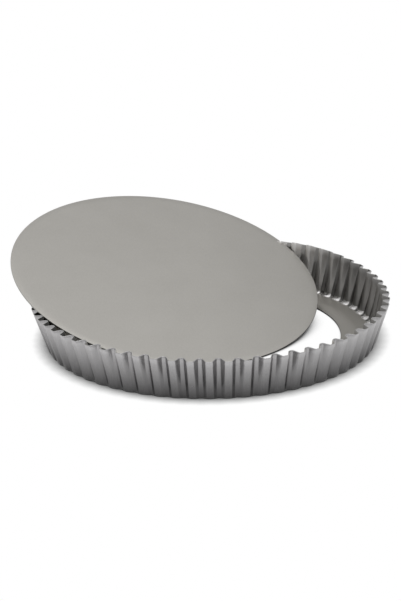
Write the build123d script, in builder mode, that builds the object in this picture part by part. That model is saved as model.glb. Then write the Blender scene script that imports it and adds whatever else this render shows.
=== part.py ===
"""A fluted quiche tin of two loose pieces: a pressed ring, and a flat base that leans across it."""

import os
from math import atan, cos, degrees, pi, radians, sin, sqrt, tan

from build123d import *

# Ring: one pressed sheet, whose fluted wall flares up to a raw rim and turns in to a flat ledge at the foot
rim_diameter = 280.0
wall_spread = 9.5
ring_height = 33.0
ring_sheet = 0.8
foot_bend = 2.2
ledge_width = 28.5

# Flutes: flat panels that stand out, with narrower rounded grooves between them
flute_count = 64
rim_flute_depth = 4.0
foot_flute_depth = 1.5
groove_crown = 0.3
panel_share = 0.46
groove_floor_share = 0.22
fold_share = 0.5

# Loose base: a flat blanked disc that drops on the ledge with some play all round
base_play = 2.7
base_sheet = 1.0
base_edge_break = 0.2

# How the base leans: its low edge on the table inside the hole, its underside across the rim
lean_angle = 15.8
downhill_azimuth = -51.2
table_gap = 0.2
rim_gap = 0.2

# How far the hollow runs past the rim where it is cut
cut_overrun = 1.0

# The wall leans out by the flare, and both skins of the sheet turn round one bend centre at the foot
rim_radius = rim_diameter / 2
foot_radius = rim_radius - wall_spread
flare = atan(wall_spread / ring_height)
outer_foot_bend = foot_bend + ring_sheet
bend_centre = foot_radius - outer_foot_bend * tan((pi / 2 - flare) / 2)
ledge_hole_radius = foot_radius - ledge_width
inner_rim_radius = rim_radius - ring_sheet / cos(flare)
pitch = 360 / flute_count

# The base clears the insides of the grooves where it drops on the ledge
base_radius = bend_centre - foot_flute_depth - base_play

# Its underside climbs past the rim where its edge is still inside the grooves: the chord there is the same
# on the disc and on the circle that the grooves leave free, which gives how far uphill its middle lies
lean = radians(lean_angle)
free_radius = inner_rim_radius - rim_flute_depth
climb = ring_height + rim_gap - table_gap
chord_offset = base_radius * cos(lean) - climb / tan(lean)
uphill = chord_offset + sqrt(free_radius**2 - base_radius**2 + (chord_offset / cos(lean)) ** 2)
uphill_way = Vector(1, 0).rotate(Axis.Z, downhill_azimuth + 180)
base_normal = Vector(0, 0, cos(lean)) - uphill_way * sin(lean)
base_underside = uphill_way * uphill + Vector(0, 0, table_gap + base_radius * sin(lean))
base_middle = base_underside + base_normal * (base_sheet / 2)


def box_middle(base_place, lean_share):
    """Half way between both pieces' far reaches along one axis, counted from the ring's centre."""
    ring_reach = rim_radius * cos(radians(pitch * panel_share / 2))
    reach = base_radius * sqrt(1 - lean_share**2) + base_sheet / 2 * abs(lean_share)
    return (max(ring_reach, base_place + reach) + min(-ring_reach, base_place - reach)) / 2


# The origin is on the table, under the middle of the two pieces' box
middle_x = box_middle(base_middle.X, base_normal.X)
middle_y = box_middle(base_middle.Y, base_normal.Y)
ring_centre = Vector(-middle_x, -middle_y)
base_plane = Plane(
    origin=ring_centre + base_underside,
    x_dir=uphill_way.rotate(Axis.Z, 90),
    z_dir=base_normal,
)


def polar(radius, angle):
    """The point at a radius and an angle in degrees."""
    return Vector(radius, 0).rotate(Axis.Z, angle)


def fluted_outline(skin_radius, depth, inset):
    """One closed fluted line: inset is 0 on the outer skin and the sheet's thickness on the inner one."""
    # Folds in a sheet narrow the panels and widen the grooves on its inner skin
    fold = degrees(inset * fold_share / skin_radius)
    half_panel = pitch * panel_share / 2 - fold
    half_floor = pitch * groove_floor_share / 2 + fold
    floor_radius = skin_radius - depth
    with BuildLine() as flute:
        Line(polar(skin_radius, -half_panel), polar(skin_radius, half_panel))
        floor = ThreePointArc(
            polar(floor_radius + groove_crown, pitch / 2 - half_floor),
            polar(floor_radius, pitch / 2),
            polar(floor_radius + groove_crown, pitch / 2 + half_floor),
        )
        Line(polar(skin_radius, half_panel), floor @ 0)
        Line(floor @ 1, polar(skin_radius, pitch - half_panel))
    with BuildLine() as outline:
        with PolarLocations(0, flute_count):
            add(flute.line)
    return outline.line


def flute_depth_at(height):
    """The grooves' depth at a height on the wall."""
    return foot_flute_depth + (rim_flute_depth - foot_flute_depth) * height / ring_height


def skin_levels(bend, turns, top_height, top_radius):
    """Heights and panel radii of one skin, from the flat ledge round the foot's bend and up to its top."""
    levels = [(outer_foot_bend - bend * sin(turn), bend_centre + bend * cos(turn)) for turn in turns]
    return [*levels, (top_height, top_radius)]


# The outer skin's rounder bend takes a step half way, from facing down to facing out along the flare
outer_turns = (pi / 2, (pi / 2 + flare) / 2, flare)
inner_turns = (pi / 2, flare)
inner_top_radius = inner_rim_radius + cut_overrun * tan(flare)
outer_levels = skin_levels(outer_foot_bend, outer_turns, ring_height, rim_radius)
inner_levels = skin_levels(foot_bend, inner_turns, ring_height + cut_overrun, inner_top_radius)

with BuildPart() as fluted_ring:
    for height, radius in outer_levels:
        with BuildSketch(Plane(ring_centre).offset(height)):
            add(fluted_outline(radius, flute_depth_at(height), 0))
            make_face()
    loft(ruled=True)
    for height, radius in inner_levels:
        with BuildSketch(Plane(ring_centre).offset(height)):
            add(fluted_outline(radius, flute_depth_at(height), ring_sheet))
            make_face()
    loft(ruled=True, mode=Mode.SUBTRACT)
    with BuildSketch(Plane(ring_centre)):
        Circle(ledge_hole_radius)
    extrude(amount=ring_sheet, mode=Mode.SUBTRACT)
fluted_ring.part.label = "fluted_ring"

with BuildPart() as loose_base:
    with BuildSketch(base_plane):
        Circle(base_radius)
    extrude(amount=base_sheet)
    chamfer(loose_base.edges().filter_by(GeomType.CIRCLE), base_edge_break)
loose_base.part.label = "loose_base"

os.makedirs("parts", exist_ok=True)
export_step(fluted_ring.part, "parts/fluted_ring.step")
export_step(loose_base.part, "parts/loose_base.step")

print("base radius", round(base_radius, 3), "underside middle", base_plane.origin)
print("ring centre", ring_centre, "clear radius on the ledge", round(bend_centre - foot_flute_depth, 3))
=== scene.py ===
"""A fluted quiche tin with its loose base leaning across it, on a white table in soft studio light."""

from cmath import phase, rect
from math import atan, cos, exp, pi, radians, sin, tan

import bpy
from mathutils import Matrix, Vector, noise


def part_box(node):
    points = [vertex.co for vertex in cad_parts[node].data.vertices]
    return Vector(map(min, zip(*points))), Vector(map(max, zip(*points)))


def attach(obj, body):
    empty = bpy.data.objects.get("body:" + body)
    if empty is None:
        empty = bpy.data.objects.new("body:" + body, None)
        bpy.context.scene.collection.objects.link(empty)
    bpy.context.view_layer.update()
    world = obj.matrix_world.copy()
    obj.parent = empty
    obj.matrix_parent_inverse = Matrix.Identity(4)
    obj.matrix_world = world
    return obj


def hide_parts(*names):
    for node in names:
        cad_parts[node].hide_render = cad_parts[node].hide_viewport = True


MM = 0.001

# The camera, fitted to the outlines of the ring and the base
CAMERA_PLACE = Vector((0.7, -1473.4, 565.6)) * MM
CAMERA_YAW = radians(0.024)
CAMERA_PITCH = radians(20.173)
CAMERA_ROLL = radians(-0.979)
CAMERA_LENS_MM = 119.39
SENSOR_MM = 36.0

# The ring's sizes: the frame's, with deeper and rounder grooves and a rounder bend inside the foot
RIM_RADIUS = 140.0 * MM
FOOT_RADIUS = 130.5 * MM
RING_HEIGHT = 33.0 * MM
RING_SHEET = 0.8 * MM
FOOT_BEND = 2.2 * MM
FOOT_BEND_SEEN_INSIDE = 3.6 * MM
HOLE_RADIUS = 102.0 * MM
LEDGE_MIDDLE_RADIUS = 116.0 * MM
FLUTE_COUNT = 64
RIM_FLUTE_DEPTH = 5.3 * MM
FOOT_FLUTE_DEPTH = 1.5 * MM
GROOVE_CROWN = 0.3 * MM
PANEL_SHARE = 0.36
GROOVE_FLOOR_SHARE = 0.23
FOLD_SHARE = 0.5
CUT_EDGE_ROUND = 0.2 * MM
PITCH = 2 * pi / FLUTE_COUNT

# How far the folds between panels, flanks and groove floors are eased, on a fold's outside and inside
FOLD_EASE_OUTSIDE = 0.9 * MM
FOLD_EASE_INSIDE = 0.6 * MM

# The ring's mesh: steps round the foot's bend and up the wall, points in an eased fold, and the faces of one
# flute from mid panel to mid panel, with how far in from both ends its flanks and its groove floor start
BEND_STEPS = 6
WALL_STEPS = 7
FOLD_POINTS = 5
FLUTE_FACES = 28
FLANK_START = 5
FLOOR_START = 9

# The leaning base's sizes, and its mesh: points round a line, where its flat lines and its edge's lines are
BASE_RADIUS = 124.042 * MM
BASE_SHEET = 1.0 * MM
BASE_EDGE_ROUND = 0.2 * MM
LEAN = radians(15.8)
UPHILL = radians(180 - 51.2)
BASE_SEGMENTS = 384
BASE_LINE_SHARES = (0.12, 0.3, 0.5, 0.7, 0.85, 0.95)
BASE_EDGE_TURNS = (0.5, 1.0, pi / 2)

# How far pressed sheet is out of true: the wall's waves and how close they are, the grooves' spread in depth
# and the step between flutes in its noise, and the base's waves and their length
WALL_WOBBLE = 0.12 * MM
WALL_WAVES = 9
FLUTE_SPREAD = 0.16
FLUTE_NOISE_STEP = 1.7
BASE_WOBBLE = 0.10 * MM
BASE_WAVE = 70 * MM

# Swells where the flutes are out of step: degrees round the ring, half width in degrees, share of the pitch
FLUTE_SLIPS = [(50, 18, -0.25), (20, 12, -0.08), (270, 14, -0.15), (250, 14, -0.10), (212, 26, -0.38)]

# How much higher the grooves end at the rim than the panels, as a share of their depth
GROOVE_RISE = 0.13

# Swells where the rim is bent up: degrees round the ring, half width in degrees, millimetres, and how much
# more the grooves rise there
RIM_LIFTS = [(52, 21, 1.8, 0.36), (230, 27, 1.6, 0.0)]

# Below this share of its height the ring isn't raised anywhere
CLEAR_OF_BEND = 0.15

# The foot is moved and made smaller in radius, on the lines that reach past the ledge's flat ones
FOOT_SHIFT = complex(0.4, -0.7) * MM
FOOT_SHRINK = 1.5 * MM
CLEAR_OF_LEDGE = 120 * MM

# The studio: how bright the metal sees its horizon, its ceiling, its rear wall and the table
HORIZON_GLOW = 0.38
OVERHEAD_GLOW = 0.52
REAR_GLOW = 0.28
TABLE_GLOW = 0.12

# Where those change, by how far a mirrored way points up or back: from horizon to ceiling, from the front to
# the rear wall, and from that wall's top to above it
WAY_UP = (0.0, 0.75)
WAY_BACK = (-0.1, 0.6)
REAR_WALL_TOP = (0.25, 0.55)

WHITE = (1, 1, 1, 1)
TABLE_WHITE = (0.80, 0.80, 0.80, 1)

# Painted shades near and under the tin, in the table's white and in the inner steel's colour: the reach and
# samples that test how open a spot is, the openness where the shade is full and where it starts, and the
# light that the full shade leaves
CONTACT_SHADE = (13 * MM, 16, (0.38, 0.94), 0.28)
TABLE_COVER_SHADE = (80 * MM, 16, (0.16, 0.36), 0.02)
STEEL_COVER_SHADE = (80 * MM, 8, (0.10, 0.34), 0.06)

# Painted shades across from left to right: where one starts and is full, and the light that it leaves. The
# inside is painted darker towards its two ends, for the dark it would mirror there, and the base a little
# darker to the right
INSIDE_SHADES = (((80 * MM, 125 * MM), 0.36), ((-60 * MM, -95 * MM), 0.10))
BASE_SHADES = (((0, 110 * MM), 0.91),)

# A flank's mirroring of the dark room is painted into its colour as a dark line: where across the front it
# starts and is full, and where it fades and ends. Anticlockwise, flank_away falls from a panel and flank_back
# rises to the next
LINE_SHADE = 0.45
FLANK_AWAY_PAINTED_LINE = ((-30 * MM, 30 * MM), (60 * MM, 110 * MM))
FLANK_BACK_PAINTED_LINE = ((40 * MM, -15 * MM), (-60 * MM, -110 * MM))

# Satin steel: its mottle's and streaks' sizes, each layer's share of its tint, how far its roughness varies,
# and its relief; streaks are stretched up the wall or across the base, or not at all
MOTTLE_SIZE = 30 * MM
STREAK_SIZE = 0.9 * MM
MOTTLE_SHARE = 0.3
STREAK_SHARE = 0.4
SPECKLE_SHARE = 0.3
ROUGHNESS_SPREAD = 0.05
RELIEF = 0.02 * MM
EVEN = (1, 1, 1)
UP_THE_WALL = (1, 1, 0.03)
ACROSS_THE_BASE = (1, 0.3, 1)

# Where nearly all of a noise's values lie
NOISE_SPAN = (0.25, 0.75)

# The wall's flare, and the centre that the sheet's outer skin turns round at the foot
FLARE = atan((RIM_RADIUS - FOOT_RADIUS) / RING_HEIGHT)
OUTER_FOOT_BEND = FOOT_BEND + RING_SHEET
BEND_CENTRE = FOOT_RADIUS - OUTER_FOOT_BEND * tan((pi / 2 - FLARE) / 2)
INNER_RIM_RADIUS = RIM_RADIUS - RING_SHEET / cos(FLARE)

# The rounder bend inside the foot has a centre of its own
INNER_BEND_HEIGHT = RING_SHEET + FOOT_BEND_SEEN_INSIDE
INNER_BEND_CENTRE = (
    INNER_RIM_RADIUS - (RING_HEIGHT - INNER_BEND_HEIGHT) * tan(FLARE) - FOOT_BEND_SEEN_INSIDE / cos(FLARE)
)

# The ledge's circles as (height, radius): in along its top, round the cut edge and out along its underside
FLAT_LINES = [
    (RING_SHEET, LEDGE_MIDDLE_RADIUS),
    (RING_SHEET, HOLE_RADIUS + CUT_EDGE_ROUND),
    (RING_SHEET - CUT_EDGE_ROUND, HOLE_RADIUS),
    (CUT_EDGE_ROUND, HOLE_RADIUS),
    (0, HOLE_RADIUS + CUT_EDGE_ROUND),
    (0, LEDGE_MIDDLE_RADIUS),
]

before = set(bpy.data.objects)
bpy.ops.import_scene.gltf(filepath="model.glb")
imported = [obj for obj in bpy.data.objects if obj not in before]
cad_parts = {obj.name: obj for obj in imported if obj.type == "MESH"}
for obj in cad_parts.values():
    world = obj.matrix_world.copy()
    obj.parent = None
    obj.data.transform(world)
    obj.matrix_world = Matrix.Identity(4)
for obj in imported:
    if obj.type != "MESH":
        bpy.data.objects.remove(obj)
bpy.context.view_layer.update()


def middle_of(node):
    """The middle of a CAD node's box at rest."""
    low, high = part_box(node)
    return (Vector(low) + Vector(high)) / 2


def spread(first, last, count):
    """Evenly spaced values from first to last."""
    return [first + (last - first) * step / (count - 1) for step in range(count)]


# Meshes: each piece is a stack of closed lines with as many points each, joined by quads

def eased(before, corner, after, ease):
    """Points of a small bend in place of the corner between two straight runs."""
    start = corner + (before - corner) / abs(before - corner) * ease
    end = corner + (after - corner) / abs(after - corner) * ease
    return [start * (1 - t) ** 2 + corner * 2 * t * (1 - t) + end * t**2 for t in spread(0, 1, FOLD_POINTS)]


def one_flute(skin_radius, depth, inset):
    """Points along half a panel, a groove and half the next panel, on one skin of the sheet."""
    fold = inset * FOLD_SHARE / skin_radius
    half_panel = PITCH * PANEL_SHARE / 2 - fold
    half_floor = PITCH * GROOVE_FLOOR_SHARE / 2 + fold
    panel_ease, floor_ease = FOLD_EASE_OUTSIDE, FOLD_EASE_INSIDE
    if inset > RING_SHEET / 2:
        panel_ease, floor_ease = floor_ease, panel_ease
    panel_middle = rect(skin_radius, 0)
    panel_end = rect(skin_radius, half_panel)
    floor_start = rect(skin_radius - depth + GROOVE_CROWN, PITCH / 2 - half_floor)
    floor_middle = rect(skin_radius - depth, PITCH / 2)
    floor_end = rect(skin_radius - depth + GROOVE_CROWN, PITCH / 2 + half_floor)
    next_panel = rect(skin_radius, PITCH - half_panel)
    next_middle = rect(skin_radius, PITCH)
    falling = eased(panel_middle, panel_end, floor_start, panel_ease)
    low = eased(panel_end, floor_start, floor_middle, floor_ease)
    high = eased(floor_middle, floor_end, next_panel, floor_ease)
    rising = eased(floor_end, next_panel, next_middle, panel_ease)
    return [
        panel_middle, (panel_middle + falling[0]) / 2,
        *falling, (falling[-1] + low[0]) / 2,
        *low, (low[-1] + floor_middle) / 2,
        floor_middle, (floor_middle + high[0]) / 2,
        *high, (high[-1] + rising[0]) / 2,
        *rising, (rising[-1] + next_middle) / 2,
    ]


def swell(angle, at, width):
    """A smooth swell of height 1 round an angle."""
    return exp(-((phase(rect(1, angle - at)) / width) ** 2))


def fluted_line(skin_radius, depth, inset):
    """Points once round one fluted line: inset is 0 on the outer skin and the sheet's thickness inside."""
    line = []
    for number in range(FLUTE_COUNT):
        # No two pressed flutes come out quite alike, and they aren't quite evenly spaced
        uneven = 1 + FLUTE_SPREAD * noise.noise(Vector((number * FLUTE_NOISE_STEP, 0, 0)))
        for point in one_flute(skin_radius, depth * uneven, inset):
            angle = phase(point) + number * PITCH
            slip = sum(share * swell(angle, radians(at), radians(width)) for at, width, share in FLUTE_SLIPS)
            line.append(point * rect(1, (number + slip) * PITCH))
    return line


def round_line(radius, like):
    """A circle with its points at the same angles as another line's."""
    return [rect(radius, phase(point)) for point in like]


def flute_depth_at(height):
    """The grooves' depth at a height on the wall."""
    return FOOT_FLUTE_DEPTH + (RIM_FLUTE_DEPTH - FOOT_FLUTE_DEPTH) * height / RING_HEIGHT


def ring_lines():
    """The ring's closed lines as (height, points), from under the foot up, over the rim and back inside."""
    lines = []

    def fluted(height, radius, inset):
        lines.append((height, fluted_line(radius, flute_depth_at(height), inset)))

    bend_turns = spread(pi / 2, FLARE, BEND_STEPS + 1)
    wall_top = RING_HEIGHT - CUT_EDGE_ROUND
    outer_bottom = OUTER_FOOT_BEND * (1 - sin(FLARE))
    inner_bottom = INNER_BEND_HEIGHT - FOOT_BEND_SEEN_INSIDE * sin(FLARE)
    for turn in bend_turns:
        height = OUTER_FOOT_BEND * (1 - sin(turn))
        fluted(height, BEND_CENTRE + OUTER_FOOT_BEND * cos(turn), 0)
    for height in spread(outer_bottom, wall_top, WALL_STEPS + 1)[1:]:
        fluted(height, RIM_RADIUS - (RING_HEIGHT - height) * tan(FLARE), 0)
    fluted(RING_HEIGHT, RIM_RADIUS - CUT_EDGE_ROUND, CUT_EDGE_ROUND)
    fluted(RING_HEIGHT, INNER_RIM_RADIUS + CUT_EDGE_ROUND, RING_SHEET - CUT_EDGE_ROUND)
    for height in reversed(spread(inner_bottom, wall_top, WALL_STEPS + 1)[1:]):
        fluted(height, INNER_RIM_RADIUS - (RING_HEIGHT - height) * tan(FLARE), RING_SHEET)
    for turn in reversed(bend_turns):
        height = INNER_BEND_HEIGHT - FOOT_BEND_SEEN_INSIDE * sin(turn)
        fluted(height, INNER_BEND_CENTRE + FOOT_BEND_SEEN_INSIDE * cos(turn), RING_SHEET)
    ledge = lines[-1][1]
    return lines + [(height, round_line(radius, ledge)) for height, radius in FLAT_LINES]


def out_of_true(point, height, reach):
    """Where a line's point goes, as x and y in one number, and z; reach is the line's largest radius."""
    free = height / RING_HEIGHT
    way = point / abs(point)
    seed = Vector((way.real, way.imag, 0)) * WALL_WAVES + Vector((0, 0, free))
    out = way * WALL_WOBBLE * free * (noise.noise(seed) - 1)
    if reach > CLEAR_OF_LEDGE:
        out += (FOOT_SHIFT - way * FOOT_SHRINK) * (1 - free)
    # The sheet was trimmed level before it was pressed, so the steeper grooves end a little higher
    inward = reach - abs(point)
    rise = GROOVE_RISE * free * inward
    for at, width, lift, steeper in RIM_LIFTS:
        share = swell(phase(point), radians(at), radians(width)) * free
        rise += share * (lift * MM + steeper * inward)
    if free < CLEAR_OF_BEND:
        rise = 0
    return point + out, height + rise


def quads(line_count, point_count, closed):
    """The faces between neighbouring lines, and between the last and the first if the section is closed."""
    faces = []
    for line in range(line_count if closed else line_count - 1):
        here, there = line * point_count, (line + 1) % line_count * point_count
        for point in range(point_count):
            after = (point + 1) % point_count
            faces.append((here + point, here + after, there + after, there + point))
    return faces


def new_piece(name, verts, faces, finishes, body, node):
    """A smooth mesh that rides on a body and stands for a CAD node; finishes holds each face's material."""
    mesh = bpy.data.meshes.new(name)
    mesh.from_pydata(verts, [], faces)
    mesh.polygons.foreach_set("use_smooth", [True] * len(mesh.polygons))
    kinds = list(dict.fromkeys(finishes))
    for material in kinds:
        mesh.materials.append(material)
    mesh.polygons.foreach_set("material_index", [kinds.index(material) for material in finishes])
    mesh.update()
    piece = bpy.data.objects.new(name, mesh)
    bpy.context.scene.collection.objects.link(piece)
    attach(piece, body)
    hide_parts(node)
    return piece


def flute_finishes(finish):
    """The materials across one flute: outer skin, inner skin (lit ridges, painted-shade panels) and foot bend
    (painted glint).
    """
    outer, inner, bend = [], [], []
    for number in range(FLUTE_FACES):
        from_panel = min(number, FLUTE_FACES - 1 - number)
        if from_panel >= FLOOR_START:
            outer.append(finish["floor"])
        elif from_panel >= FLANK_START:
            outer.append(finish["flank_away" if number == from_panel else "flank_back"])
        else:
            outer.append(finish["panel"])
        # Inner ridges take the painted-light steel, inner panels the painted-shade steel
        ridge = from_panel >= FLANK_START
        inner.append(finish["inner_ridge" if ridge else "inner_panel"])
        bend.append(finish["foot_glint" if ridge else "inner_panel"])
    return outer, inner, bend


def make_ring(finish):
    """The pressed ring, a little out of true as thin sheet is; finish names its materials."""
    centre = middle_of("fluted_ring")
    lines = ring_lines()
    verts = []
    for height, points in lines:
        reach = max(abs(point) for point in points)
        for point in points:
            spot, level = out_of_true(point, height, reach)
            verts.append((centre.x + spot.real, centre.y + spot.imag, level))
    faces = quads(len(lines), len(lines[0][1]), True)
    outer, inner, bend = flute_finishes(finish)
    rim, ledge, hole_edge = ([finish[part]] * FLUTE_FACES for part in ("rim", "ledge", "hole_edge"))
    rows = [outer] * (BEND_STEPS + WALL_STEPS + 1) + [rim] + [inner] * (WALL_STEPS + 1) + [bend] * BEND_STEPS
    rows += [ledge] * 2 + [hole_edge] * 3 + [ledge] * 2
    finishes = [material for row in rows for material in row * FLUTE_COUNT]
    return new_piece("fluted_ring_sheet", verts, faces, finishes, "ring", "fluted_ring")


def base_frame():
    """The matrix that puts a flat disc where the base leans, its middle at the CAD base's."""
    turn = Matrix.Rotation(UPHILL, 4, "Z") @ Matrix.Rotation(-LEAN, 4, "Y")
    return Matrix.Translation(middle_of("loose_base")) @ turn


def make_base(flat, cut_edge):
    """The flat base, with its edge eased all round and its face very slightly wavy."""
    half = BASE_SHEET / 2
    ease = BASE_EDGE_ROUND
    flat_radii = [BASE_RADIUS * share for share in BASE_LINE_SHARES] + [BASE_RADIUS - ease]
    edge = [
        (BASE_RADIUS - ease * (1 - sin(turn)), half - ease * (1 - cos(turn))) for turn in BASE_EDGE_TURNS
    ]
    top = [(radius, half) for radius in flat_radii] + edge
    section = top + [(radius, -level) for radius, level in reversed(top)]
    place = base_frame()
    verts = []
    for radius, level in section:
        for number in range(BASE_SEGMENTS):
            spot = rect(radius, 2 * pi * number / BASE_SEGMENTS)
            wave = BASE_WOBBLE * noise.noise(Vector((spot.real, spot.imag, 0)) / BASE_WAVE)
            fade = 1 - (radius / BASE_RADIUS) ** 4
            verts.append(place @ Vector((spot.real, spot.imag, level + wave * fade)))
    faces = [tuple(reversed(face)) for face in quads(len(section), BASE_SEGMENTS, False)]
    last = (len(section) - 1) * BASE_SEGMENTS
    faces.append(tuple(range(BASE_SEGMENTS)))
    faces.append(tuple(range(last + BASE_SEGMENTS - 1, last - 1, -1)))
    flat_rows = len(flat_radii) - 1
    edge_rows = len(section) - 1 - 2 * flat_rows
    rows = [flat] * flat_rows + [cut_edge] * edge_rows + [flat] * flat_rows
    finishes = [material for material in rows for number in range(BASE_SEGMENTS)] + [flat] * 2
    return new_piece("loose_base_disc", verts, faces, finishes, "base", "loose_base")


# Materials

class Shader:
    """A material's or the world's node tree, with short calls to add and link nodes."""

    def __init__(self, owner):
        owner.use_nodes = True
        self.tree = owner.node_tree
        self.tree.nodes.clear()

    def add(self, kind, inputs=None, **settings):
        """A node of one kind, with its settings, and its inputs as values or as sockets to link."""
        node = self.tree.nodes.new(kind)
        for key, value in settings.items():
            setattr(node, key, value)
        for key, value in (inputs or {}).items():
            if isinstance(value, bpy.types.NodeSocket):
                self.tree.links.new(value, node.inputs[key])
            else:
                node.inputs[key].default_value = value
        return node

    def axes(self, place):
        """The X, Y and Z of a place, in one of the kinds of coordinates that textures use."""
        where = self.add("ShaderNodeTexCoord").outputs[place]
        return self.add("ShaderNodeSeparateXYZ", {"Vector": where}).outputs

    def noise(self, scales, size, detail):
        """Noise of one grain size in metres, stretched by the three scales."""
        where = self.add("ShaderNodeTexCoord").outputs["Object"]
        mapped = self.add("ShaderNodeMapping", {"Vector": where, "Scale": scales}).outputs["Vector"]
        inputs = {"Vector": mapped, "Scale": 1 / size, "Detail": detail}
        return self.add("ShaderNodeTexNoise", inputs).outputs["Fac"]

    def ramp(self, value, span, ends, **settings):
        """A value brought from its span to the range between the two ends, and held there."""
        sides = {"From Min": span[0], "From Max": span[1], "To Min": ends[0], "To Max": ends[1]}
        return self.add("ShaderNodeMapRange", {"Value": value, **sides}, **settings).outputs["Result"]

    def math(self, operation, one, other):
        """One value out of two, such as their sum, their product or the larger one."""
        return self.add("ShaderNodeMath", {0: one, 1: other}, operation=operation).outputs[0]

    def open_sky(self, reach, samples, span, least):
        """A shade from how open the way up from a spot is within a reach, from least to 1 over a span."""
        openness = self.add("ShaderNodeAmbientOcclusion", {"Distance": reach}, samples=samples).outputs["AO"]
        return self.ramp(openness, span, (least, 1.0))

    def apart(self, others_see, camera_sees):
        """One surface that the camera sees, and another that everything else does."""
        seen = self.add("ShaderNodeLightPath").outputs["Is Camera Ray"]
        sides = {0: seen, 1: others_see.outputs[0], 2: camera_sees.outputs[0]}
        return self.add("ShaderNodeMixShader", sides).outputs[0]


def steel(name, dark, light, roughness, grain, bump, streaks=EVEN, foot_shade=1.0, shades=(), covered=False,
          line=None):
    """Satin steel sheet with mottle, grain and streaks; foot_shade and what follows it paint shade into its
    colour.
    """
    material = bpy.data.materials.new(name)
    shader = Shader(material)
    mottle = shader.noise(EVEN, MOTTLE_SIZE, detail=3.0)
    speckle = shader.noise(EVEN, grain, detail=2.0)
    drawn = shader.noise(streaks, STREAK_SIZE, detail=3.0)
    tint = shader.ramp(mottle, NOISE_SPAN, (0, MOTTLE_SHARE))
    for layer, share in ((drawn, STREAK_SHARE), (speckle, SPECKLE_SHARE)):
        tint = shader.math("ADD", tint, shader.ramp(layer, NOISE_SPAN, (0, share)))
    colour = shader.add("ShaderNodeValToRGB", {"Fac": tint})
    colour.color_ramp.elements[0].color = (*dark, 1)
    colour.color_ramp.elements[1].color = (*light, 1)
    place = shader.axes("Object")
    # Painted shade multiplied into the colour: darker towards the foot, across from left to right, where the
    # way up is covered, and along a flank's dark line
    shade = shader.ramp(place["Z"], (0.0, RING_HEIGHT), (foot_shade, 1.0))
    for span, least in shades:
        shade = shader.math("MULTIPLY", shade, shader.ramp(place["X"], span, (1.0, least)))
    if covered:
        shade = shader.math("MULTIPLY", shade, shader.open_sky(*STEEL_COVER_SHADE))
    if line:
        deepening = shader.ramp(place["X"], line[0], (1.0, LINE_SHADE))
        lifting = shader.ramp(place["X"], line[1], (LINE_SHADE, 1.0))
        shade = shader.math("MULTIPLY", shade, shader.math("MAXIMUM", deepening, lifting))
    inputs = {"Vector": colour.outputs["Color"], "Scale": shade}
    shaded = shader.add("ShaderNodeVectorMath", inputs, operation="SCALE")
    inputs = {"Height": shader.math("ADD", speckle, drawn), "Strength": bump, "Distance": RELIEF}
    bumped = shader.add("ShaderNodeBump", inputs)
    roughness_ends = (roughness - ROUGHNESS_SPREAD, roughness + ROUGHNESS_SPREAD)
    surface = shader.add("ShaderNodeBsdfPrincipled", {
        "Base Color": shaded.outputs["Vector"],
        "Metallic": 1.0,
        "Roughness": shader.ramp(speckle, NOISE_SPAN, roughness_ends),
        "Normal": bumped.outputs["Normal"],
    })
    shader.add("ShaderNodeOutputMaterial", {"Surface": surface.outputs["BSDF"]})
    return material


def table_material():
    """A white table: the camera sees white with painted shadows near and under the tin; metal sees a lit
    surface.
    """
    material = bpy.data.materials.new("white_table")
    shader = Shader(material)
    shade = shader.math("MULTIPLY", shader.open_sky(*CONTACT_SHADE), shader.open_sky(*TABLE_COVER_SHADE))
    white = shader.add("ShaderNodeEmission", {"Color": WHITE, "Strength": shade})
    diffuse = shader.add("ShaderNodeBsdfDiffuse", {"Color": TABLE_WHITE})
    glow = shader.add("ShaderNodeEmission", {"Color": WHITE, "Strength": TABLE_GLOW})
    lit = shader.add("ShaderNodeAddShader", {0: diffuse.outputs[0], 1: glow.outputs[0]})
    shader.add("ShaderNodeOutputMaterial", {"Surface": shader.apart(lit, white)})
    return material


# The studio

def make_table():
    """A plain table, far wider than the view."""
    half = 4.0
    corners = [(-half, -half, 0), (half, -half, 0), (half, half, 0), (-half, half, 0)]
    mesh = bpy.data.meshes.new("table")
    mesh.from_pydata(corners, [], [(0, 1, 2, 3)])
    mesh.materials.append(table_material())
    table = bpy.data.objects.new("table", mesh)
    bpy.context.scene.collection.objects.link(table)


def make_world():
    """A soft white studio, brightest overhead and low behind; the camera sees plain white."""
    world = bpy.data.worlds.new("studio")
    bpy.context.scene.world = world
    shader = Shader(world)
    way = shader.axes("Generated")
    glows = (HORIZON_GLOW, OVERHEAD_GLOW)
    bright = shader.ramp(way["Z"], WAY_UP, glows, interpolation_type="SMOOTHSTEP")
    behind = shader.ramp(way["Y"], WAY_BACK, (0.0, REAR_GLOW))
    low = shader.ramp(way["Z"], REAR_WALL_TOP, (1.0, 0.0))
    total = shader.math("ADD", bright, shader.math("MULTIPLY", behind, low))
    glow = shader.add("ShaderNodeBackground", {"Color": WHITE, "Strength": total})
    plain = shader.add("ShaderNodeBackground", {"Color": WHITE, "Strength": 1.0})
    shader.add("ShaderNodeOutputWorld", {"Surface": shader.apart(glow, plain)})


def make_lamp(name, place, size, watts):
    """A soft square lamp that points at the tin."""
    lamp = bpy.data.lights.new(name, "AREA")
    lamp.size = size
    lamp.energy = watts
    holder = bpy.data.objects.new(name, lamp)
    bpy.context.scene.collection.objects.link(holder)
    holder.location = place
    holder.rotation_euler = (-Vector(place)).to_track_quat("-Z", "Y").to_euler()


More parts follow.
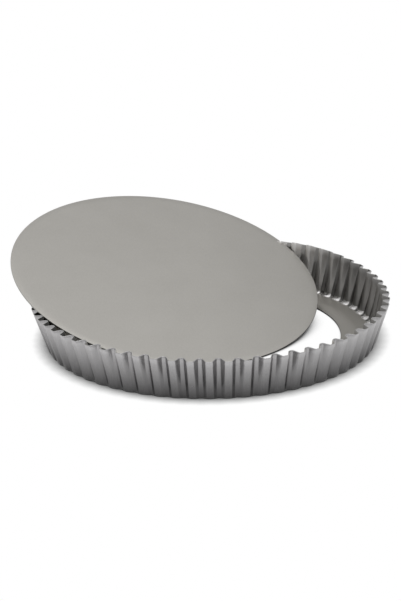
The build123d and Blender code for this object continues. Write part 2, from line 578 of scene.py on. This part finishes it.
def make_camera():
    """The photograph's view: turned, tipped down and rolled as fitted."""
    level_reach = cos(CAMERA_PITCH)
    ahead = Vector((sin(CAMERA_YAW) * level_reach, cos(CAMERA_YAW) * level_reach, -sin(CAMERA_PITCH)))
    level = Vector((cos(CAMERA_YAW), -sin(CAMERA_YAW), 0))
    over = level.cross(ahead)
    right = level * cos(CAMERA_ROLL) + over * sin(CAMERA_ROLL)
    up = over * cos(CAMERA_ROLL) - level * sin(CAMERA_ROLL)
    data = bpy.data.cameras.new("camera")
    data.lens = CAMERA_LENS_MM
    data.sensor_width = SENSOR_MM
    data.sensor_fit = "AUTO"
    camera = bpy.data.objects.new("camera", data)
    bpy.context.scene.collection.objects.link(camera)
    axes = Matrix((right, up, -ahead)).transposed()
    camera.matrix_world = Matrix.Translation(CAMERA_PLACE) @ axes.to_4x4()
    bpy.context.scene.camera = camera


bpy.context.scene.view_settings.view_transform = "Standard"
make_camera()
make_world()
make_table()
make_lamp("overhead_soft", place=(0.1, 0.5, 1.6), size=1.4, watts=4)
make_lamp("front_glint", place=(0.0, -0.9, 1.6), size=0.8, watts=3)

# Each steel's dark and light tints, and what the wall's steels have in common
wall_tints = (0.60, 0.59, 0.595), (0.74, 0.73, 0.735)
floor_shaded_tints = (0.55, 0.54, 0.545), (0.68, 0.67, 0.675)
rim_tints = (0.40, 0.40, 0.39), (0.55, 0.55, 0.54)
inner_panel_shaded_tints = (0.40, 0.39, 0.375), (0.50, 0.49, 0.475)
inner_ridge_lit_tints = (0.80, 0.78, 0.755), (0.92, 0.90, 0.875)
painted_glint_tints = (0.86, 0.85, 0.84), (0.95, 0.94, 0.93)
ledge_tints = (0.398, 0.383, 0.356), (0.458, 0.443, 0.411)
# Near black: a raw cut edge with painted shadow for the gap under the ledge
hole_edge_shadow_tints = (0.02, 0.02, 0.02), (0.04, 0.04, 0.04)
base_tints = (0.475, 0.46, 0.43), (0.55, 0.535, 0.505)
base_edge_tints = (0.50, 0.49, 0.46), (0.58, 0.57, 0.54)
pressed = {"grain": 0.35 * MM, "bump": 0.25, "streaks": UP_THE_WALL}
# Painted shade: the outer wall's colour darkens towards its foot
outside = {**pressed, "foot_shade": 0.21}
# The inside gets painted shade towards its two ends and where the way up is covered
inside = {**pressed, "shades": INSIDE_SHADES, "covered": True}

ring_finish = {
    "panel": steel("panel_steel", *wall_tints, roughness=0.28, **outside),
    "flank_away": steel("flank_away_painted_line_steel", *wall_tints, roughness=0.30, line=FLANK_AWAY_PAINTED_LINE, **outside),
    "flank_back": steel("flank_back_painted_line_steel", *wall_tints, roughness=0.30, line=FLANK_BACK_PAINTED_LINE, **outside),
    # Groove floors a little darker: painted shade in the recess
    "floor": steel("groove_floor_painted_shade_steel", *floor_shaded_tints, roughness=0.30, **outside),
    "rim": steel("rim_steel", *rim_tints, roughness=0.40, grain=0.30 * MM, bump=0.20),
    # Lit and shaded copies: inner panels painted dark as shaded recesses, inner ridges painted light
    "inner_panel": steel("inner_panel_painted_shade_steel", *inner_panel_shaded_tints, roughness=0.30, **inside),
    "inner_ridge": steel("inner_ridge_painted_light_steel", *inner_ridge_lit_tints, roughness=0.33, **inside),
    # Painted glint: the inner foot bend under each ridge is coloured near white
    "foot_glint": steel("foot_bend_painted_glint_steel", *painted_glint_tints, roughness=0.28, grain=0.35 * MM, bump=0.10),
    "ledge": steel("ledge_steel", *ledge_tints, roughness=0.50, grain=0.40 * MM, bump=0.15),
    "hole_edge": steel("hole_edge_painted_shadow_steel", *hole_edge_shadow_tints, roughness=0.60, grain=0.30 * MM, bump=0.20),
}
# The base's own tone, with a little painted shade towards the right
base_steel_with_painted_shade = steel("base_steel_with_painted_shade", *base_tints, roughness=0.42, grain=0.45 * MM, bump=0.15,
                   streaks=ACROSS_THE_BASE, shades=BASE_SHADES)
# The base's cut edge: painted shade darkening it towards the table
base_edge_painted_shade_steel = steel("base_edge_painted_shade_steel", *base_edge_tints, roughness=0.45, grain=0.30 * MM, bump=0.20,
                        foot_shade=0.08)
make_ring(ring_finish)
make_base(base_steel_with_painted_shade, base_edge_painted_shade_steel)
